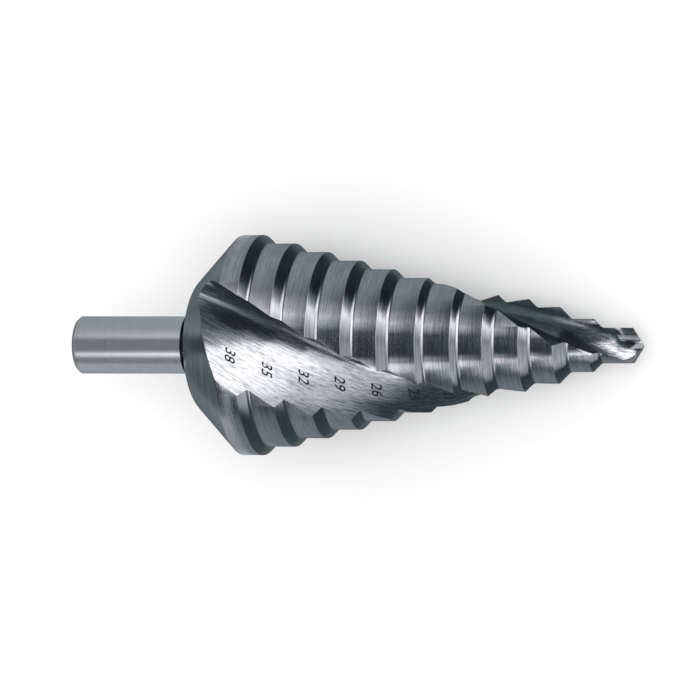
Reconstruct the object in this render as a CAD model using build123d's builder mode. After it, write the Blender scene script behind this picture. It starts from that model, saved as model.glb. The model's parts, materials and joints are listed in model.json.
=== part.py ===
from build123d import *
from math import acos, cos, degrees, radians, sin, tan
import os

os.makedirs("parts", exist_ok=True)

# A step drill in one piece: a plain round shank, a head of twelve steps and two helical flutes.
# All sizes are in millimetres and degrees. The drill is made along X, with its shank's end at
# x = 0 and its point towards +X. At the end it is laid down on its side as it comes to rest.

# Shank and neck
shank_diameter = 10.0
shank_length = 21.4
shank_chamfer = 0.6
neck_diameter = 8.8
neck_width = 1.65

# Head behind the largest step
rear_cone_angle = 46.5
rear_cone_round = 5.5

# Steps from the largest to the smallest, and the length of each one's cylindrical land
step_diameters = (38.0, 35.0, 32.0, 29.0, 26.0, 23.0, 21.0, 19.0, 16.0, 13.0, 9.0, 6.0)
land_lengths = (3.5, 4.2, 4.3, 4.3, 4.3, 4.8, 4.8, 4.3, 4.4, 4.1, 3.8, 5.4)
rear_cone_length = 8.6
step_chamfer_angle = 45.0

# Point: two cutting lips, each with a narrow clearance face and a steep one behind it
point_angle = 118.0
lip_clearance_angle = 14.0
lip_clearance_width = 1.3
heel_clearance_angle = 48.0
lip_lead = 0.8
gash_length = 2.0
gash_slope_angle = 13.0
gash_width = 0.8
gash_web = 0.12

# Flutes: a flat back face that rounds down into a gully, then a hooked wall that carries the lips
flute_count = 2
flute_start_angle = 15.2
flute_lead_rear = 184.6
flute_lead_front = 84.4
back_face_height = 14.1
back_face_height_front = 0.77
back_face_bow = 1.1
gully_depth = 1.35
gully_line_offset = 1.0
rounding_start_rear = -4.8
rounding_start_front = -2.4
rounding_bulge_rear = 0.37
rounding_bulge_front = -0.3
wall_start_height = 2.95
wall_start_offset = 4.3
hook_angle = 13.0
web_thickness = 1.1
flute_margin = 2.0
flute_stations = 24

# Corners that the drill lies on: two lip corners and, behind them, the heel of the largest step
lip_corner_steps = (2, 3)

# Profile of the turned blank, as points of length and radius
head_start = shank_length
largest_radius = step_diameters[0] / 2
first_land_start = head_start + rear_cone_length
rear_face_radius = largest_radius - rear_cone_length * tan(radians(rear_cone_angle))

outline = [
    (0, 0),
    (0, shank_diameter / 2 - shank_chamfer),
    (shank_chamfer, shank_diameter / 2),
    (head_start - neck_width, shank_diameter / 2),
    (head_start - neck_width, neck_diameter / 2),
    (head_start, neck_diameter / 2),
    (head_start, rear_face_radius),
    (first_land_start, largest_radius),
]
rims = []
station = first_land_start
for index, (diameter, land) in enumerate(zip(step_diameters, land_lengths)):
    station += land
    rims.append(station)
    outline.append((station, diameter / 2))
    if index + 1 < len(step_diameters):
        drop = (diameter - step_diameters[index + 1]) / 2
        station += drop / tan(radians(step_chamfer_angle))
        outline.append((station, step_diameters[index + 1] / 2))
point_height = step_diameters[-1] / 2 / tan(radians(point_angle / 2))
drill_length = rims[-1] + point_height
outline[-1] = (drill_length, step_diameters[-1] / 2)
outline.append((drill_length, 0))
flute_length = drill_length - rims[0]


def flute_share(x):
    """Share of the way from the largest step's rim to the point at the length x."""
    return (x - rims[0]) / flute_length


def flute_angle(x):
    """Angle, about the drill's axis, that the flute's back face looks in at the length x."""
    share = flute_share(x)
    rear_turns = flute_length / flute_lead_rear
    front_turns = flute_length / flute_lead_front
    return flute_start_angle - 360 * (rear_turns * share + (front_turns - rear_turns) * share**2 / 2)


def back_face(x):
    """Distance of the flute's flat back face from the axis at the length x."""
    share = flute_share(x)
    height = back_face_height + (back_face_height_front - back_face_height) * share
    return max(height + 4 * back_face_bow * share * (1 - share), web_thickness)


def gully_line(x):
    """Distance of the gully's lowest line from the axis at the length x."""
    return max(back_face(x) - gully_depth, web_thickness / 2)


def from_rear_to_front(x, rear, front):
    """Value that changes evenly from the largest step's rim to the point, and not beyond them."""
    share = min(max(flute_share(x), 0), 1)
    return rear + (front - rear) * share


def flute_plane(x):
    """Plane across the drill, with its own X out along the back face's normal."""
    turn = radians(flute_angle(x))
    return Plane(origin=(x, 0, 0), x_dir=(0, sin(turn), cos(turn)), z_dir=(-1, 0, 0))


# Turned blank
with BuildPart() as blank:
    with BuildSketch(Plane.XY):
        with BuildLine():
            Polyline(*outline, close=True)
        make_face()
        fillet(vertices().sort_by_distance((head_start, rear_face_radius))[0], rear_cone_round)
    revolve(axis=Axis.X)

# One flute, as the space that the grinding wheel clears
flute_reach = largest_radius + 2 * flute_margin
hook = radians(hook_angle)
with BuildPart() as flute_space:
    for number in range(flute_stations):
        share = number / (flute_stations - 1)
        x = head_start - flute_margin + (drill_length - head_start + 2 * flute_margin) * share
        face = back_face(x)
        floor = gully_line(x)
        rounding_start = from_rear_to_front(x, rounding_start_rear, rounding_start_front)
        bulge = from_rear_to_front(x, rounding_bulge_rear, rounding_bulge_front)
        rounding_middle = ((face + floor) / 2 + bulge, (rounding_start + gully_line_offset) / 2)
        wall_foot = (floor + wall_start_height, wall_start_offset)
        wall_top = (flute_reach, wall_start_offset - (flute_reach - wall_foot[0]) * tan(hook))
        with BuildSketch(flute_plane(x)):
            with BuildLine():
                Line((flute_reach, -flute_reach), (face, -flute_reach))
                Line((face, -flute_reach), (face, rounding_start))
                ThreePointArc((face, rounding_start), rounding_middle, (floor, gully_line_offset))
                TangentArc(wall_foot, (floor, gully_line_offset), tangent=(-cos(hook), sin(hook)))
                Line(wall_foot, wall_top)
                Line(wall_top, (flute_reach, -flute_reach))
            make_face()
    loft()

# What is ground away above one lip's clearance faces
point_reach = step_diameters[-1]
lip_rise = tan(radians(point_angle / 2))
point_turn = radians(flute_angle(drill_length))
across = Vector(0, sin(point_turn), cos(point_turn))
along_lip = Vector(0, cos(point_turn), -sin(point_turn))
back_edge = lip_lead - lip_clearance_width
lead_rise = lip_lead * tan(radians(lip_clearance_angle))
back_drop = back_edge * tan(radians(lip_clearance_angle))
heel_drop = (back_edge + point_reach) * tan(radians(heel_clearance_angle))
with BuildPart() as clearance_space:
    with BuildSketch(Plane(origin=(drill_length, 0, 0), x_dir=across, z_dir=across.cross(Vector(1, 0, 0)))):
        with BuildLine():
            Polyline(
                (lip_lead, lead_rise),
                (back_edge, back_drop),
                (-point_reach, back_drop - heel_drop),
                (-point_reach, point_reach),
                (point_reach, point_reach),
                (point_reach, lead_rise),
                close=True,
            )
        make_face()
    extrude(amount=point_reach, dir=along_lip * lip_rise - Vector(1, 0, 0), both=True)

# The gash that thins the web beside one lip
gash_rise = gash_length * tan(radians(gash_slope_angle))
with BuildPart() as gash_space:
    with BuildSketch(Plane(origin=(drill_length, 0, 0), x_dir=across, z_dir=across.cross(Vector(1, 0, 0)))):
        with BuildLine():
            Polyline(
                (gash_web, 0),
                (gash_web + gash_rise, -gash_length),
                (gash_web + gash_rise + gash_length, gash_length),
                (gash_web - gash_rise, gash_length),
                close=True,
            )
        make_face()
    extrude(amount=gash_width / 2, both=True)

with BuildPart() as drill:
    add(blank.part)
    for number in range(flute_count):
        turn = 360 / flute_count * number
        add(flute_space.part, rotation=(turn, 0, 0), mode=Mode.SUBTRACT)
        add(clearance_space.part, rotation=(turn, 0, 0), mode=Mode.SUBTRACT)
        add(gash_space.part, rotation=(turn, 0, 0), mode=Mode.SUBTRACT)


def corner(x, radius, angle):
    """Point at the length x, at a radius and an angle about the axis in the lower flute."""
    turn = radians(angle + 360 / flute_count)
    return Vector(x, radius * sin(turn), radius * cos(turn))


def heel_corner(x, radius):
    """Where the back face runs out at a radius."""
    return corner(x, radius, flute_angle(x) - degrees(acos(back_face(x) / radius)))


def lip_corner(x, radius):
    """Where the hooked wall runs out at a radius."""
    wall_distance = (gully_line(x) + wall_start_height) * sin(hook) + wall_start_offset * cos(hook)
    return corner(x, radius, flute_angle(x) + 90 - hook_angle - degrees(acos(wall_distance / radius)))


# Rest attitude: on its side on three corners of one flute, with the point low and towards +X
def nearest_corner(point):
    """Corner of the finished drill that is nearest to a point."""
    return Vector(drill.vertices().sort_by_distance(point)[0])


rest_heel = nearest_corner(heel_corner(first_land_start, largest_radius))
rest_lips = [nearest_corner(lip_corner(rims[step], step_diameters[step] / 2)) for step in lip_corner_steps]
rest_up = (rest_lips[0] - rest_heel).cross(rest_lips[1] - rest_heel).normalized()
if rest_up.dot(rest_heel) > 0:
    rest_up = -rest_up
rest_forward = Vector(1, 0, 0) - rest_up * rest_up.X
rest_plane = Plane(origin=rest_heel, x_dir=rest_forward, z_dir=rest_up)
laid_drill = drill.part.moved(rest_plane.location.inverse())
laid_box = laid_drill.bounding_box()

with BuildPart() as step_drill:
    with Locations((-laid_box.center().X, -laid_box.center().Y, 0)):
        add(laid_drill)

step_drill.part.label = "step_drill"
export_step(step_drill.part, "parts/step_drill.step")
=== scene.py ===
import json
from math import asin, atan2, cos, hypot, pi, radians, sin, tan

import bmesh
import bpy
from mathutils import Matrix, Vector


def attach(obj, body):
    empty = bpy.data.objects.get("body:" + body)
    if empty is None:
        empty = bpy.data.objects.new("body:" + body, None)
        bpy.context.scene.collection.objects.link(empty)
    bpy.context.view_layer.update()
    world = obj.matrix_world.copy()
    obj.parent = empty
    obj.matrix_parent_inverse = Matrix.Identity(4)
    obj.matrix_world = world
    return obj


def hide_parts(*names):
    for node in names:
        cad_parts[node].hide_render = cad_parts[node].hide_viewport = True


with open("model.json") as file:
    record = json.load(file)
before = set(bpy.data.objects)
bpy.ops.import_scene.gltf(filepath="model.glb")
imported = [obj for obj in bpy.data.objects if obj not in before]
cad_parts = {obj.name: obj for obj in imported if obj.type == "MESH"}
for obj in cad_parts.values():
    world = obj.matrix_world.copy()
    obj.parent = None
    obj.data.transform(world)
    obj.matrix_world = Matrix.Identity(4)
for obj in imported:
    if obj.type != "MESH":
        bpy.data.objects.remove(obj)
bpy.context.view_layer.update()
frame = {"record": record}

# A step drill lying on its side. Its sizes are in millimetres along its own axis, X, from the
# shank's end, and are those of the CAD model. PLACE then lays it down, in metres.
MM = 0.001

# Shank and neck
SHANK_DIAMETER = 10.0
SHANK_LENGTH = 21.4
SHANK_CHAMFER = 0.6
NECK_DIAMETER = 8.8
NECK_WIDTH = 1.65

# Head behind the largest step
REAR_CONE_ANGLE = 46.5
REAR_CONE_LENGTH = 8.6
REAR_CONE_ROUND = 5.5

# Steps from the largest to the smallest
STEP_DIAMETERS = (38.0, 35.0, 32.0, 29.0, 26.0, 23.0, 21.0, 19.0, 16.0, 13.0, 9.0, 6.0)
LAND_LENGTHS = (3.5, 4.2, 4.3, 4.3, 4.3, 4.8, 4.8, 4.3, 4.4, 4.1, 3.8, 5.4)
FIRST_RIM = SHANK_LENGTH + REAR_CONE_LENGTH + LAND_LENGTHS[0]

# Point
POINT_ANGLE = 118.0
LIP_CLEARANCE_ANGLE = 14.0
LIP_CLEARANCE_WIDTH = 1.3
HEEL_CLEARANCE_ANGLE = 48.0
LIP_LEAD = 0.8
GASH_LENGTH = 2.0
GASH_SLOPE_ANGLE = 13.0
GASH_WIDTH = 0.8
GASH_WEB = 0.12

# Flutes: a pair of values is at the largest step's rim and at the point
FLUTE_START_ANGLE = 15.2
FLUTE_LEAD = (184.6, 84.4)
BACK_FACE_HEIGHT = (14.1, 0.77)
BACK_FACE_BOW = 1.1
GULLY_DEPTH = 1.35
GULLY_LINE_OFFSET = 1.0
ROUNDING_START = (-4.8, -2.4)
ROUNDING_BULGE = (0.37, -0.3)
WALL_START_HEIGHT = 2.95
WALL_START_OFFSET = 4.3
HOOK = radians(13.0)
WEB_THICKNESS = 1.1
FLUTE_REACH = 23.0
FLUTE_MARGIN = 2.0

# Small rounds of the finished drill: the radius at the foot of each step's chamfer, and what is
# broken off each outer edge whose two sides are longer than SHORTEST_SIDE
FOOT_ROUND = 1.0
EDGE_ROUND = 0.05
SHORTEST_SIDE = 1.0

# How finely it is turned and ground
TURN_STEPS = 240
REAR_CONE_ROUND_STEPS = 16
FOOT_ROUND_STEPS = 6
EDGE_ROUND_STEPS = 2
FLUTE_STATIONS = 96
BACK_STEPS = 20
ROUND_STEPS = 10
WALL_STEPS = 6
SHARP_ANGLE = radians(24)

# Points nearer than this are merged: where the turned surface closes, and after the cuts
SEAM_GAP = 1e-5
SLIVER = 1e-4

# Step sizes on the back face of the upper flute: text, place along the axis and across the flute
SIZES = (
    ("38", 31.85, -6.6),
    ("35", 37.85, -5.7),
    ("32", 43.75, -4.0),
    ("29", 49.5, -2.7),
    ("26", 55.3, -2.0),
    ("23", 61.1, -1.85),
    ("21", 66.5, -2.45),
)
DIGIT_HEIGHT = 1.7
DIGIT_SHARE_OF_TYPE = 0.7
STROKE_GROWTH = 0.008
LONGEST_STROKE_SIDE = 0.5
MARK_THICKNESS = 0.06
MARK_SUNK_SHARE = 0.3

# Painted shade that darkens the flutes in the gully and on the back by the heel near the point:
# places along the axis between which it fades in or out, and the same across the flute
GULLY_TONE_ACROSS = (-1.5, 1.5)
GULLY_TONE_STARTS = (25.0, 31.0)
GULLY_TONE_PAUSES = (52.0, 47.0)
GULLY_TONE_RESUMES = (60.0, 67.0)
GULLY_TONE_ENDS = (94.0, 84.0)
HEEL_TONE_ACROSS = (-1.7, -2.6)
HEEL_TONE_STARTS = (73.0, 76.0)
HEEL_TONE_ENDS = (92.0, 87.0)
HEEL_TONE_STRENGTH = 1.1
TONE_DEEPENS = (66.0, 74.0)
TONE_STRENGTH = (0.68, 0.86)
# Colour of the painted shade in the flutes
FLUTE_SHADE_COLOUR = (0.15, 0.20, 0.215, 1)
SHANK_COLOUR = (0.88, 0.88, 0.88, 1)
# Colour of the painted shade in the neck, where the head shades it
NECK_SHADE_COLOUR = (0.05, 0.075, 0.085, 1)

# Where the drill lies: its axis dips towards the point and the numbered flute looks up
shank_mount = frame["record"]["mounts"][0]
DIP = asin(shank_mount["axis"][2])
ROLL = radians(7.1036)
LAY = Matrix.Rotation(DIP, 4, "Y") @ Matrix.Rotation(-ROLL, 4, "X")
TO_DRILL = LAY.inverted()
AXIS_WORLD = LAY.to_3x3() @ Vector((1, 0, 0))
shank_middle = SHANK_CHAMFER + shank_mount["dims"]["length_mm"] / 2
SHANK_END = Vector(shank_mount["pos_m"]) - (LAY @ Vector((1, 0, 0))) * shank_middle * MM
PLACE = Matrix.Translation(SHANK_END) @ LAY @ Matrix.Scale(MM, 4)
DRILL_MIDDLE = Vector((50, 0, 0))

# Camera: its turns about the drill, its distance in millimetres, and its focal length and the
# picture's size and middle in pixels
CAMERA_YAW = radians(14.5977)
CAMERA_ROLL = radians(0.0817)
CAMERA_DISTANCE = 690.653
CAMERA_FOCAL = 4026.55
PICTURE_SIZE = 700
PICTURE_MIDDLE = (356.829, 345.180)
SENSOR_WIDTH = 36


def add_camera():
    view = Vector((sin(CAMERA_YAW), 0, cos(CAMERA_YAW)))
    right = Vector((cos(CAMERA_YAW), 0, -sin(CAMERA_YAW)))
    up = Vector((0, 1, 0))
    turn, tilt = cos(CAMERA_ROLL), sin(CAMERA_ROLL)
    right, up = right * turn + up * tilt, up * turn - right * tilt
    spot = DRILL_MIDDLE + view * CAMERA_DISTANCE
    spot -= right * (PICTURE_MIDDLE[0] - PICTURE_SIZE / 2) / CAMERA_FOCAL * CAMERA_DISTANCE
    spot += up * (PICTURE_MIDDLE[1] - PICTURE_SIZE / 2) / CAMERA_FOCAL * CAMERA_DISTANCE
    turned = Matrix((right, up, view)).transposed().to_4x4()
    camera = bpy.data.objects.new("camera", bpy.data.cameras.new("camera"))
    bpy.context.scene.collection.objects.link(camera)
    camera.data.sensor_width = SENSOR_WIDTH
    camera.data.lens = SENSOR_WIDTH * CAMERA_FOCAL / PICTURE_SIZE
    camera.data.clip_start, camera.data.clip_end = 0.01, 50
    camera.matrix_world = Matrix.Translation(PLACE @ spot) @ LAY @ turned
    bpy.context.scene.camera = camera


add_camera()


# Shapes of the drill
def outline():
    """Half outline of the turned blank, as points of length and radius."""
    points = [
        (0, 0),
        (0, SHANK_DIAMETER / 2 - SHANK_CHAMFER),
        (SHANK_CHAMFER, SHANK_DIAMETER / 2),
        (SHANK_LENGTH - NECK_WIDTH, SHANK_DIAMETER / 2),
        (SHANK_LENGTH - NECK_WIDTH, NECK_DIAMETER / 2),
        (SHANK_LENGTH, NECK_DIAMETER / 2),
    ]
    largest = STEP_DIAMETERS[0] / 2
    points.append((SHANK_LENGTH, largest - REAR_CONE_LENGTH * tan(radians(REAR_CONE_ANGLE))))
    points.append((SHANK_LENGTH + REAR_CONE_LENGTH, largest))
    station = points[-1][0]
    for index, land in enumerate(LAND_LENGTHS):
        radius = STEP_DIAMETERS[index] / 2
        station += land
        points.append((station, radius))
        if index + 1 < len(STEP_DIAMETERS):
            next_radius = STEP_DIAMETERS[index + 1] / 2
            station += radius - next_radius
            points.append((station, next_radius))
    tip = station + STEP_DIAMETERS[-1] / 2 / tan(radians(POINT_ANGLE / 2))
    points[-1] = (tip, STEP_DIAMETERS[-1] / 2)
    points.append((tip, 0))
    return points


# The outline, and which of its corners are the rear cone's start and the feet of the chamfers
OUTLINE = outline()
REAR_CORNER = 6
STEP_FEET = slice(9, -2, 2)
TIP = OUTLINE[-1][0]

# The flutes' twist in degrees a millimetre, at the largest rim and at the point
TWIST = (360 / FLUTE_LEAD[0], 360 / FLUTE_LEAD[1])
TWIST_GROWTH = (TWIST[1] - TWIST[0]) / (TIP - FIRST_RIM)


def flute_angle(x):
    run = x - FIRST_RIM
    return radians(FLUTE_START_ANGLE - TWIST[0] * run - TWIST_GROWTH * run * run / 2)


def back_face(x):
    """Distance of the flute's flat back face from the axis at the length x."""
    share = (x - FIRST_RIM) / (TIP - FIRST_RIM)
    height = BACK_FACE_HEIGHT[0] + (BACK_FACE_HEIGHT[1] - BACK_FACE_HEIGHT[0]) * share
    return max(height + 4 * BACK_FACE_BOW * share * (1 - share), WEB_THICKNESS)


def gully_line(x):
    """Distance of the gully's lowest line from the axis at the length x."""
    return max(back_face(x) - GULLY_DEPTH, WEB_THICKNESS / 2)


def in_flute(x, out, across):
    """Point of the drill at the length x, out from the axis and across the flute."""
    turn = flute_angle(x)
    y = out * sin(turn) + across * cos(turn)
    z = out * cos(turn) - across * sin(turn)
    return Vector((x, y, z))


def arc(centre, start, end, steps):
    """Points of the shorter arc from start to end, without its last point."""
    first = atan2(start[1] - centre[1], start[0] - centre[0])
    last = atan2(end[1] - centre[1], end[0] - centre[0])
    sweep = (last - first + pi) % (2 * pi) - pi
    radius = hypot(start[0] - centre[0], start[1] - centre[1])
    angles = [first + sweep * n / steps for n in range(steps)]
    return [(centre[0] + radius * cos(t), centre[1] + radius * sin(t)) for t in angles]


def circle_centre(p, q, s):
    """Centre of the circle through three points."""
    (ax, ay), (bx, by), (cx, cy) = p, q, s
    d = 2 * (ax * (by - cy) + bx * (cy - ay) + cx * (ay - by))
    a2, b2, c2 = ax * ax + ay * ay, bx * bx + by * by, cx * cx + cy * cy
    return (
        (a2 * (by - cy) + b2 * (cy - ay) + c2 * (ay - by)) / d,
        (a2 * (cx - bx) + b2 * (ax - cx) + c2 * (bx - ax)) / d,
    )


def flute_section(x):
    """Outline of the space that one flute clears at the length x, as (out, across) points."""
    face, floor = back_face(x), gully_line(x)
    share = min(max((x - FIRST_RIM) / (TIP - FIRST_RIM), 0), 1)
    start = ROUNDING_START[0] + (ROUNDING_START[1] - ROUNDING_START[0]) * share
    bulge = ROUNDING_BULGE[0] + (ROUNDING_BULGE[1] - ROUNDING_BULGE[0]) * share
    round_start, gully = (face, start), (floor, GULLY_LINE_OFFSET)
    middle = ((face + floor) / 2 + bulge, (start + GULLY_LINE_OFFSET) / 2)
    foot = (floor + WALL_START_HEIGHT, WALL_START_OFFSET)
    points = []
    for n in range(BACK_STEPS):
        points.append((face, -FLUTE_REACH + (start + FLUTE_REACH) * n / BACK_STEPS))
    centre = circle_centre(round_start, middle, gully)
    points += arc(centre, round_start, gully, ROUND_STEPS)
    normal = (-sin(HOOK), -cos(HOOK))
    dx, dy = gully[0] - foot[0], gully[1] - foot[1]
    reach = (dx * dx + dy * dy) / (2 * (dx * normal[0] + dy * normal[1]))
    centre = (foot[0] + normal[0] * reach, foot[1] + normal[1] * reach)
    points += arc(centre, gully, foot, ROUND_STEPS)
    for n in range(WALL_STEPS + 1):
        out = foot[0] + (FLUTE_REACH - foot[0]) * n / WALL_STEPS
        points.append((out, foot[1] - (out - foot[0]) * tan(HOOK)))
    points.append((FLUTE_REACH, -FLUTE_REACH))
    return points


def back_height(x, across):
    """How far out the flute's back stands from the axis: flat, then rounded down to the gully."""
    points = flute_section(x)
    for (out, spot), (next_out, next_spot) in zip(points, points[1:]):
        if spot <= across <= next_spot:
            return out + (next_out - out) * (across - spot) / (next_spot - spot)
    return back_face(x)


def as_object(name, bm, material):
    bmesh.ops.recalc_face_normals(bm, faces=bm.faces)
    for face in bm.faces:
        face.smooth = True
    mesh = bpy.data.meshes.new(name)
    bm.to_mesh(mesh)
    bm.free()
    mesh.materials.append(material)
    piece = bpy.data.objects.new(name, mesh)
    bpy.context.scene.collection.objects.link(piece)
    return piece


def round_corners(bm, corners, cut, steps):
    """Rounds corners of an outline, each from the distance cut before it to the same after it."""
    bmesh.ops.bevel(
        bm, geom=corners, offset=cut, affect="VERTICES", segments=steps, profile=0.5, material=-1
    )


def turned_blank(material):
    bm = bmesh.new()
    chain = [bm.verts.new((x, r, 0)) for x, r in OUTLINE]
    for a, b in zip(chain, chain[1:]):
        bm.edges.new((a, b))
    cut = REAR_CONE_ROUND * tan(radians(90 - REAR_CONE_ANGLE) / 2)
    round_corners(bm, [chain[REAR_CORNER]], cut, REAR_CONE_ROUND_STEPS)
    feet = chain[STEP_FEET]
    outer = []
    for vert in bm.verts:
        if len(vert.link_edges) == 2 and vert not in feet:
            if min(edge.calc_length() for edge in vert.link_edges) > SHORTEST_SIDE:
                outer.append(vert)
    round_corners(bm, feet, FOOT_ROUND * tan(radians(45) / 2), FOOT_ROUND_STEPS)
    round_corners(bm, outer, EDGE_ROUND, EDGE_ROUND_STEPS)
    bmesh.ops.spin(
        bm, geom=bm.verts[:] + bm.edges[:], axis=(1, 0, 0), cent=(0, 0, 0), angle=2 * pi,
        steps=TURN_STEPS, use_merge=True, use_duplicate=False
    )
    bmesh.ops.remove_doubles(bm, verts=bm.verts, dist=SEAM_GAP)
    return as_object("blank", bm, material)


def flute_cutter(side, material):
    """The space of one flute, turned about the axis by the angle side."""
    bm = bmesh.new()
    turned = Matrix.Rotation(side, 3, "X")
    start, end = SHANK_LENGTH - FLUTE_MARGIN, TIP + FLUTE_MARGIN
    loops = []
    for number in range(FLUTE_STATIONS):
        x = start + (end - start) * number / (FLUTE_STATIONS - 1)
        verts = [bm.verts.new(turned @ in_flute(x, *point)) for point in flute_section(x)]
        edges = [bm.edges.new((verts[i - 1], verts[i])) for i in range(len(verts))]
        if loops:
            bmesh.ops.bridge_loops(bm, edges=loops[-1] + edges)
        loops.append(edges)
    for edges in (loops[0], loops[-1]):
        bmesh.ops.contextual_create(bm, geom=edges)
    return as_object("flute_cutter", bm, material)


def prism(points, along, half, material, side):
    """A ground flat. Its points lie across the lip and along the axis, and run half both ways."""
    turn = flute_angle(TIP)
    tip = Vector((TIP, 0, 0))
    across = Vector((0, sin(turn), cos(turn)))
    bm = bmesh.new()
    turned = Matrix.Rotation(side, 3, "X")
    verts = []
    for u, v in points:
        spot = tip + across * u + Vector((v, 0, 0)) - along * half
        verts.append(bm.verts.new(turned @ spot))
    face = bm.faces.new(verts)
    grown = bmesh.ops.extrude_face_region(bm, geom=[face])["geom"]
    moved = [g for g in grown if isinstance(g, bmesh.types.BMVert)]
    bmesh.ops.translate(bm, verts=moved, vec=turned @ (along * 2 * half))
    return as_object("prism", bm, material)


def clearance_cutter(side, material):
    """What is ground away above one lip's clearance faces."""
    reach = STEP_DIAMETERS[-1]
    turn = flute_angle(TIP)
    rise = tan(radians(POINT_ANGLE / 2))
    along = Vector((-1, cos(turn) * rise, -sin(turn) * rise))
    back = LIP_LEAD - LIP_CLEARANCE_WIDTH
    slope, steep = tan(radians(LIP_CLEARANCE_ANGLE)), tan(radians(HEEL_CLEARANCE_ANGLE))
    points = (
        (LIP_LEAD, LIP_LEAD * slope),
        (back, back * slope),
        (-reach, back * slope - (back + reach) * steep),
        (-reach, reach),
        (reach, reach),
        (reach, LIP_LEAD * slope),
    )
    return prism(points, along.normalized(), reach, material, side)


def gash_cutter(side, material):
    """The gash that thins the web beside one lip."""
    rise = GASH_LENGTH * tan(radians(GASH_SLOPE_ANGLE))
    turn = flute_angle(TIP)
    points = (
        (GASH_WEB, 0),
        (GASH_WEB + rise, -GASH_LENGTH),
        (GASH_WEB + rise + GASH_LENGTH, GASH_LENGTH),
        (GASH_WEB - rise, GASH_LENGTH),
    )
    along = Vector((0, cos(turn), -sin(turn)))
    return prism(points, along, GASH_WIDTH / 2, material, side)


# Finishes
class Tree:
    """Adds nodes to a material or world. An input is a number, a vector, a colour or a socket."""

    def __init__(self, owner):
        owner.use_nodes = True
        self.nodes, self.links = owner.node_tree.nodes, owner.node_tree.links

    def add(self, kind, inputs=(), out=0, **settings):
        node = self.nodes.new("ShaderNode" + kind)
        for name, value in settings.items():
            setattr(node, name, value)
        for key, value in dict(inputs).items():
            if isinstance(value, bpy.types.NodeSocket):
                self.links.new(value, node.inputs[key])
            else:
                node.inputs[key].default_value = value
        return node.outputs[out]

    def math(self, operation, *values):
        return self.add("Math", dict(enumerate(values)), operation=operation)

    def product(self, first, *others):
        for other in others:
            first = self.math("MULTIPLY", first, other)
        return first

    def vector(self, operation, *values):
        return self.add("VectorMath", dict(enumerate(values)), operation=operation)

    def split(self, vector):
        return self.add("SeparateXYZ", {0: vector}).node.outputs

    def span(self, value, low, high, to_low=0.0, to_high=1.0, smooth=False):
        """A value that runs from to_low to to_high while another one runs from low to high."""
        kind = "SMOOTHSTEP" if smooth else "LINEAR"
        inputs = {
            "Value": value, "From Min": low, "From Max": high, "To Min": to_low, "To Max": to_high,
        }
        return self.add("MapRange", inputs, interpolation_type=kind)

    def mix(self, share, first, second):
        return self.add("Mix", {0: share, 6: first, 7: second}, out=2, data_type="RGBA")

    def ramp(self, share, stops):
        node = self.nodes.new("ShaderNodeValToRGB")
        elements = node.color_ramp.elements
        elements.remove(elements[0])
        for index, (place, colour) in enumerate(stops):
            element = elements[0] if index == 0 else elements.new(place)
            element.position = place
            element.color = colour
        self.links.new(share, node.inputs[0])
        return node.outputs[0]

    def grain(self, place, stretch, detail, roughness=0.5):
        """Noise over a place in millimetres, long where its stretch is small."""
        vector = self.vector("MULTIPLY", place, stretch)
        inputs = {"Vector": vector, "Scale": 1.0, "Detail": detail, "Roughness": roughness}
        return self.add("TexNoise", inputs)

    def drill_place(self):
        """Place on the drill in millimetres: along its axis from the shank's end, and across."""
        inside = self.add("TexCoord", out=3)
        shift = -(TO_DRILL @ SHANK_END) / MM
        turn = TO_DRILL.to_euler("XYZ")
        inputs = {0: inside, "Location": shift, "Rotation": turn, "Scale": (1 / MM,) * 3}
        return self.add("Mapping", inputs)


def finish(name, metallic):
    material = bpy.data.materials.new(name)
    tree = Tree(material)
    shader = tree.nodes["Principled BSDF"].inputs
    shader["Metallic"].default_value = metallic
    return material, tree, shader


def make_turned_steel():
    """Lands, chamfers and shank, ground in rings round the axis."""
    material, tree, shader = finish("turned_steel", 1)
    place = tree.drill_place()
    along = tree.split(place)[0]
    rings = tree.grain(place, (7.0, 0.12, 0.12), 5.0, 0.75)
    patches = tree.grain(place, (1.2, 0.35, 0.35), 3.0)
    shank = tree.span(along, SHANK_LENGTH + 0.4, SHANK_LENGTH - 0.2)
    neck_starts = tree.span(along, SHANK_LENGTH - NECK_WIDTH - 0.1, SHANK_LENGTH - NECK_WIDTH)
    neck_ends = tree.span(along, SHANK_LENGTH + 0.05, SHANK_LENGTH - 0.05)
    tone = tree.ramp(tree.math("ADD", rings, tree.span(patches, 0.3, 0.7, -0.06, 0.06)), (
        (0.30, (0.40, 0.41, 0.42, 1)),
        (0.70, (0.78, 0.78, 0.78, 1)),
    ))
    tone = tree.mix(tree.product(shank, 0.7), tone, SHANK_COLOUR)
    # Painted shade: the neck between the shank and the head is darkened
    tone = tree.mix(tree.product(neck_starts, neck_ends), tone, NECK_SHADE_COLOUR)
    tree.links.new(tone, shader["Base Color"])
    rough = tree.math("ADD", tree.span(rings, 0.3, 0.7, 0.08, 0.17), tree.product(shank, 0.06))
    rough = tree.math("ADD", rough, tree.span(along, 0.8, 0.6, 0.0, 0.35))
    tree.links.new(rough, shader["Roughness"])
    bump = tree.add("Bump", {"Height": rings, "Strength": 0.5, "Distance": 0.00002})
    tree.links.new(bump, shader["Normal"])
    shader["Anisotropic"].default_value = 0.8
    tree.links.new(tree.add("CombineXYZ", dict(enumerate(AXIS_WORLD))), shader["Tangent"])
    return material


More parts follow.
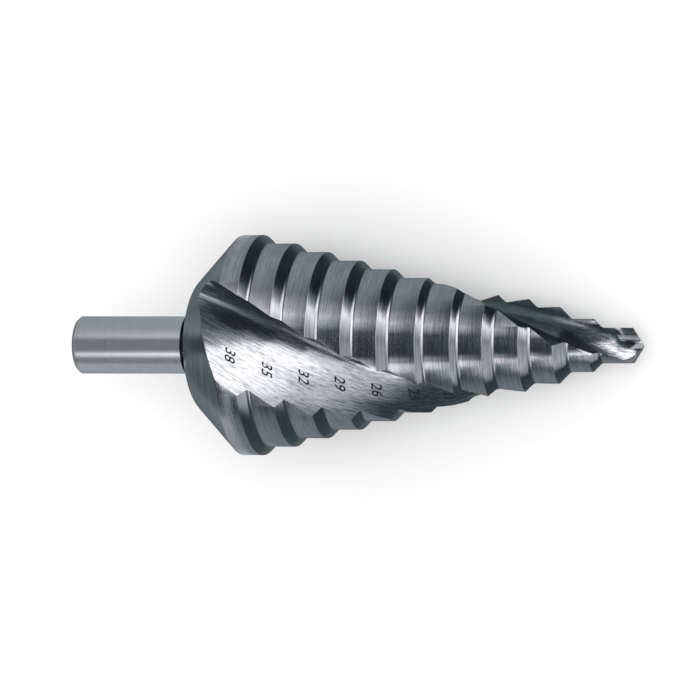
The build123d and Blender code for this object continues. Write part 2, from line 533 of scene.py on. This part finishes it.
def painted_flute_shade(tree, x, out, across):
    """How far painted shade darkens the flute's steel: in the gully, and on its back near the
    point.
    """
    sided = tree.product(across, tree.math("SIGN", out))
    gully = tree.product(
        tree.span(sided, *GULLY_TONE_ACROSS),
        tree.span(x, *GULLY_TONE_ENDS),
        tree.span(x, *GULLY_TONE_STARTS),
        tree.math("MAXIMUM", tree.span(x, *GULLY_TONE_PAUSES), tree.span(x, *GULLY_TONE_RESUMES)),
    )
    heel = tree.product(
        tree.span(sided, *HEEL_TONE_ACROSS),
        tree.span(x, *HEEL_TONE_STARTS),
        tree.span(x, *HEEL_TONE_ENDS),
        HEEL_TONE_STRENGTH,
    )
    return tree.math("MAXIMUM", gully, heel)


def make_flute_steel():
    """Flutes, ground lengthwise along their own helix."""
    material, tree, shader = finish("flute_steel", 1)
    x, y, z = tree.split(tree.drill_place())
    run = tree.math("SUBTRACT", x, FIRST_RIM)
    steady, growing = tree.product(run, -TWIST[0]), tree.product(run, run, -TWIST_GROWTH / 2)
    twist = tree.math("ADD", steady, growing)
    turn = tree.math("RADIANS", tree.math("ADD", twist, FLUTE_START_ANGLE))
    sine, cosine = tree.math("SINE", turn), tree.math("COSINE", turn)
    across = tree.math("SUBTRACT", tree.product(y, cosine), tree.product(z, sine))
    out = tree.math("ADD", tree.product(z, cosine), tree.product(y, sine))
    follow = tree.add("CombineXYZ", {0: x, 1: across, 2: out})
    fine = tree.grain(follow, (0.05, 5.0, 5.0), 4.0, 0.65)
    wide = tree.grain(follow, (0.02, 2.4, 2.4), 3.0, 0.6)
    # Painted shade: the gully and the heel near the point are darkened and made rougher
    dark = painted_flute_shade(tree, x, out, across)
    tone = tree.ramp(tree.math("ADD", fine, tree.span(wide, 0.3, 0.7, -0.12, 0.12)), (
        (0.32, (0.33, 0.34, 0.35, 1)),
        (0.60, (0.78, 0.78, 0.79, 1)),
    ))
    share = tree.product(dark, tree.span(x, *TONE_DEEPENS, *TONE_STRENGTH))
    tree.links.new(tree.mix(share, tone, FLUTE_SHADE_COLOUR), shader["Base Color"])
    rough = tree.math("ADD", tree.span(fine, 0.3, 0.7, 0.07, 0.17), tree.product(dark, 0.16))
    tree.links.new(rough, shader["Roughness"])
    height = tree.math("ADD", wide, tree.product(fine, 0.3))
    bump = tree.add("Bump", {"Height": height, "Strength": 1.0, "Distance": 0.00003})
    tree.links.new(bump, shader["Normal"])
    shader["Anisotropic"].default_value = 0.6
    spin = tree.math("RADIANS", tree.math("SUBTRACT", tree.product(run, -TWIST_GROWTH), TWIST[0]))
    inputs = {0: 1.0, 1: tree.product(z, spin), 2: tree.product(y, spin, -1.0)}
    inputs = {0: tree.add("CombineXYZ", inputs), "Rotation": LAY.to_euler("XYZ")}
    helix_world = tree.add("Mapping", inputs, vector_type="VECTOR")
    normal = tree.add("NewGeometry", out=1)
    tree.links.new(tree.vector("CROSS_PRODUCT", normal, helix_world), shader["Tangent"])
    return material


def make_point_steel():
    """Clearance faces at the point, ground across and left matt."""
    material, tree, shader = finish("point_steel", 1)
    marks = tree.grain(tree.drill_place(), (5.0, 2.0, 9.0), 5.0, 0.7)
    tone = tree.ramp(marks, ((0.3, (0.60, 0.62, 0.64, 1)), (0.7, (0.85, 0.86, 0.87, 1))))
    tree.links.new(tone, shader["Base Color"])
    tree.links.new(tree.span(marks, 0.3, 0.7, 0.28, 0.42), shader["Roughness"])
    bump = tree.add("Bump", {"Height": marks, "Strength": 0.4, "Distance": 0.00005})
    tree.links.new(bump, shader["Normal"])
    return material


def make_mark_black():
    """Step sizes, burnt dark into the steel."""
    material, tree, shader = finish("mark_black", 0)
    shader["Roughness"].default_value = 0.7
    shader["Specular IOR Level"].default_value = 0.2
    speckle = tree.add("TexNoise", {"Vector": tree.drill_place(), "Scale": 6.0, "Detail": 3.0})
    tone = tree.ramp(speckle, ((0.3, (0.004, 0.006, 0.007, 1)), (0.75, (0.02, 0.025, 0.028, 1))))
    tree.links.new(tone, shader["Base Color"])
    return material


def make_drill():
    """The drill in one piece: the turned blank, cut by both flutes and ground at both lips."""
    turned_steel = make_turned_steel()
    flute_steel = make_flute_steel()
    point_steel = make_point_steel()
    blank = turned_blank(turned_steel)
    cutters = []
    for side in (0, pi):
        cutters.append(flute_cutter(side, flute_steel))
        cutters.append(clearance_cutter(side, point_steel))
        cutters.append(gash_cutter(side, point_steel))
    for cutter in cutters:
        cut = blank.modifiers.new(cutter.name, "BOOLEAN")
        cut.object = cutter
        cut.operation = "DIFFERENCE"
        cut.solver = "EXACT"
        cut.material_mode = "TRANSFER"
    bpy.context.view_layer.update()
    ground = blank.evaluated_get(bpy.context.evaluated_depsgraph_get())
    mesh = bpy.data.meshes.new_from_object(ground)
    drill = bpy.data.objects.new("drill_steel", mesh)
    for piece in [blank] + cutters:
        bpy.data.objects.remove(piece)
    bpy.context.scene.collection.objects.link(drill)
    bm = bmesh.new()
    bm.from_mesh(mesh)
    bmesh.ops.remove_doubles(bm, verts=bm.verts, dist=SLIVER)
    bmesh.ops.dissolve_degenerate(bm, edges=bm.edges, dist=SLIVER)
    bmesh.ops.transform(bm, matrix=PLACE, verts=bm.verts)
    bm.to_mesh(mesh)
    bm.free()
    mesh.set_sharp_from_angle(angle=SHARP_ANGLE)
    return drill


def make_sizes(material):
    """Thin dark figures that follow the flute's back face."""
    bm = bmesh.new()
    for text, along, across in SIZES:
        curve = bpy.data.curves.new("size", "FONT")
        curve.body = text
        curve.size = DIGIT_HEIGHT / DIGIT_SHARE_OF_TYPE
        curve.align_x, curve.align_y = "CENTER", "CENTER"
        curve.offset = STROKE_GROWTH
        curve.resolution_u = 4
        letters = bpy.data.objects.new("size", curve)
        mesh = bpy.data.meshes.new_from_object(letters)
        figures = bmesh.new()
        figures.from_mesh(mesh)
        bmesh.ops.remove_doubles(figures, verts=figures.verts, dist=SLIVER)
        longest = [edge for edge in figures.edges if edge.calc_length() > LONGEST_STROKE_SIDE]
        bmesh.ops.subdivide_edges(figures, edges=longest, cuts=2)
        bmesh.ops.triangulate(figures, faces=figures.faces)
        grown = bmesh.ops.extrude_face_region(figures, geom=figures.faces[:])["geom"]
        tops = {g for g in grown if isinstance(g, bmesh.types.BMVert)}
        for vert in figures.verts:
            x, spot = along + vert.co.y, across - vert.co.x
            share = 1 - MARK_SUNK_SHARE if vert in tops else -MARK_SUNK_SHARE
            out = back_height(x, spot) + MARK_THICKNESS * share
            vert.co = PLACE @ in_flute(x, out, spot)
        part = bpy.data.meshes.new("size")
        figures.to_mesh(part)
        figures.free()
        bm.from_mesh(part)
        bpy.data.objects.remove(letters)
        bpy.data.meshes.remove(mesh)
        bpy.data.meshes.remove(part)
    return as_object("step_sizes", bm, material)


drill = make_drill()
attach(drill, "root")
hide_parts("step_drill")

sizes = make_sizes(make_mark_black())
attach(sizes, "root")

# The light tent: soft lights and dark panels round the drill. Each band lists angles about the
# drill's axis, in degrees from straight up, and the grey from 0 to 255 that steel mirrors there.
TENT_RADIUS = 1.2
STEEL_SHARE = 0.6
PAST_SHANK = (
    (-180, 48), (-172, 48), (-166, 104), (-158, 86), (-140, 80), (0, 77), (140, 70), (154, 86),
    (164, 128), (171, 48), (180, 48),
)
BEHIND = (
    (-180, 70), (-150, 104), (-120, 140), (-88, 150), (-78, 100), (-66, 62), (-40, 56), (-20, 60),
    (0, 80), (14, 62), (34, 62), (46, 100), (60, 120), (110, 118), (150, 100), (180, 70),
)
BESIDE_SHANK = (
    (-180, 142), (-100, 134), (-76, 144), (-64, 172), (-54, 186), (-44, 245), (-33, 252),
    (-28, 184), (-20, 172), (-10, 170), (8, 166), (18, 162), (27, 182), (40, 184), (50, 164),
    (64, 148), (90, 137), (130, 136), (180, 142),
)
BESIDE = (
    (-180, 60), (-150, 105), (-110, 104), (-84, 84), (-72, 46), (-64, 32), (-58, 46), (-52, 100),
    (-48, 140), (-43, 228), (-40, 255), (-33, 255), (-30, 160), (-24, 165), (-20, 84), (-16, 30),
    (-6, 26), (4, 38), (15, 64), (19, 56), (22, 118), (30, 178), (38, 212), (44, 176), (52, 160),
    (64, 120), (78, 122), (110, 121), (150, 110), (180, 60),
)
BEFORE_LANDS = (
    (-180, 62), (-160, 78), (-130, 115), (-100, 105), (-80, 85), (-62, 95), (-52, 95), (-40, 75),
    (-20, 50), (0, 56), (20, 55), (40, 60), (52, 46), (70, 50), (84, 76), (100, 108), (140, 95),
    (160, 75), (180, 62),
)
ABREAST = (
    (-180, 110), (-160, 80), (-150, 62), (-120, 55), (-90, 80), (-74, 105), (-66, 160), (-60, 225),
    (-36, 225), (-28, 70), (-16, 48), (10, 56), (28, 62), (44, 98), (52, 96), (62, 74), (80, 68),
    (92, 46), (104, 30), (140, 40), (160, 80), (180, 110),
)
AHEAD = (
    (-180, 70), (-120, 56), (-90, 54), (-76, 62), (-64, 115), (-50, 180), (-34, 190), (-22, 160),
    (0, 205), (12, 248), (36, 250), (46, 135), (56, 90), (66, 68), (80, 58), (92, 34), (120, 30),
    (150, 50), (180, 66),
)
AHEAD_OF_POINT = (
    (-180, 70), (-120, 54), (-90, 52), (-76, 56), (-62, 88), (-48, 132), (-30, 172), (-16, 172),
    (0, 212), (12, 248), (62, 250), (72, 186), (80, 110), (88, 66), (97, 40), (134, 38), (150, 60),
    (180, 72),
)
FURTHER_AHEAD = (
    (-180, 75), (-140, 52), (-90, 50), (-62, 60), (-40, 95), (-20, 118), (0, 160), (14, 200),
    (46, 235), (64, 226), (74, 150), (82, 70), (90, 32), (120, 26), (146, 52), (180, 80),
)
PAST_POINT = (
    (-180, 175), (-170, 165), (-160, 130), (-152, 70), (-140, 48), (-126, 42), (-120, 60),
    (-115, 150), (-100, 134), (-80, 162), (-60, 150), (-24, 140), (0, 138), (16, 122), (36, 165),
    (52, 195), (62, 246), (68, 215), (75, 140), (83, 92), (92, 42), (104, 26), (124, 28), (144, 58),
    (157, 92), (165, 140), (180, 175),
)
# PAST_SHANK starts at the tent's pole on the shank's side. Each next band takes over between two
# places along the drill's axis, which run from -1 at that pole to 1 at the one past the point.
ZONES = (
    (-0.85, -0.75, BEHIND),
    (-0.36, -0.33, BESIDE_SHANK),
    (-0.285, -0.265, BESIDE),
    (-0.12, -0.07, BEFORE_LANDS),
    (0.0, 0.06, ABREAST),
    (0.17, 0.23, AHEAD),
    (0.27, 0.34, AHEAD_OF_POINT),
    (0.52, 0.62, FURTHER_AHEAD),
    (0.66, 0.74, PAST_POINT),
)

# Floor, lamp and world
FLOOR_HALF_WIDTH = 6
FLOOR_WHITE = (0.95, 0.95, 0.95, 1)
LAMP_SIZE = 0.7
LAMP_POWER = 2.6
LAMP_TOWARDS = Vector((0.40, 0.12, 0.91)).normalized()
LAMP_DISTANCE = 0.95
DAYLIGHT = 0.98


def lit(grey):
    """Light that steel mirrors as a grey from 0 to 255, a little cool where it is dark."""
    share = grey / 255
    light = (share / 12.92 if share < 0.04 else ((share + 0.055) / 1.055) ** 2.4) / STEEL_SHARE
    cool = (1 - share) ** 2
    return (light * (1 - 0.4 * cool), light * (1 + 0.14 * cool), light * (1.05 + 0.28 * cool), 1)


def add_floor():
    bm = bmesh.new()
    bmesh.ops.create_grid(bm, x_segments=1, y_segments=1, size=FLOOR_HALF_WIDTH)
    material, _, shader = finish("floor_white", 0)
    shader["Base Color"].default_value = FLOOR_WHITE
    shader["Roughness"].default_value = 0.9
    floor = as_object("floor", bm, material)
    floor.visible_glossy = False


def add_tent():
    """The light tent that the steel mirrors, painted by direction from the drill's middle."""
    bm = bmesh.new()
    bmesh.ops.create_icosphere(bm, subdivisions=5, radius=TENT_RADIUS)
    middle = PLACE @ DRILL_MIDDLE
    bmesh.ops.translate(bm, verts=bm.verts, vec=middle)
    material = bpy.data.materials.new("tent_light")
    tree = Tree(material)
    inside = tree.add("TexCoord", out=3)
    inputs = {0: inside, "Location": -(TO_DRILL @ middle), "Rotation": TO_DRILL.to_euler("XYZ")}
    x, y, z = tree.split(tree.vector("NORMALIZE", tree.add("Mapping", inputs)))
    around = tree.span(tree.math("ARCTAN2", y, z), -pi, pi)

    def band(stops):
        return tree.ramp(around, [((angle + 180) / 360, lit(grey)) for angle, grey in stops])

    light = band(PAST_SHANK)
    for start, end, stops in ZONES:
        light = tree.mix(tree.span(x, start, end, smooth=True), light, band(stops))
    glow = tree.add("Emission", {"Color": light, "Strength": 1.0})
    tree.links.new(glow, tree.nodes["Material Output"].inputs["Surface"])
    material.cycles.emission_sampling = "NONE"
    tent = as_object("light_tent", bm, material)
    for face in tent.data.polygons:
        face.flip()
    tent.visible_camera = False
    tent.visible_diffuse = False
    tent.visible_shadow = False
    tent.visible_transmission = False


def add_lamp():
    """A wide lamp above the camera's side, so that the drill's shadow stays small and soft."""
    lamp = bpy.data.lights.new("top_light", "AREA")
    lamp.shape = "DISK"
    lamp.size = LAMP_SIZE
    lamp.energy = LAMP_POWER
    spot = bpy.data.objects.new("top_light", lamp)
    bpy.context.scene.collection.objects.link(spot)
    turned = LAMP_TOWARDS.to_track_quat("Z", "Y").to_matrix().to_4x4()
    spot.matrix_world = Matrix.Translation(LAMP_TOWARDS * LAMP_DISTANCE) @ turned
    spot.visible_glossy = False


def add_world():
    """White to the camera and in reflections, and plain daylight on the floor."""
    world = bpy.data.worlds.new("studio")
    bpy.context.scene.world = world
    tree = Tree(world)
    rays = tree.add("LightPath").node.outputs
    seen = tree.math("ADD", rays["Is Camera Ray"], rays["Is Glossy Ray"])
    seen = tree.math("MINIMUM", tree.math("ADD", seen, rays["Is Transmission Ray"]), 1.0)
    background = tree.nodes["Background"].inputs
    background["Color"].default_value = (1, 1, 1, 1)
    tree.links.new(tree.span(seen, 0.0, 1.0, DAYLIGHT, 1.0), background["Strength"])


add_floor()
add_tent()
add_lamp()
add_world()

bpy.context.scene.view_settings.view_transform = "Standard"
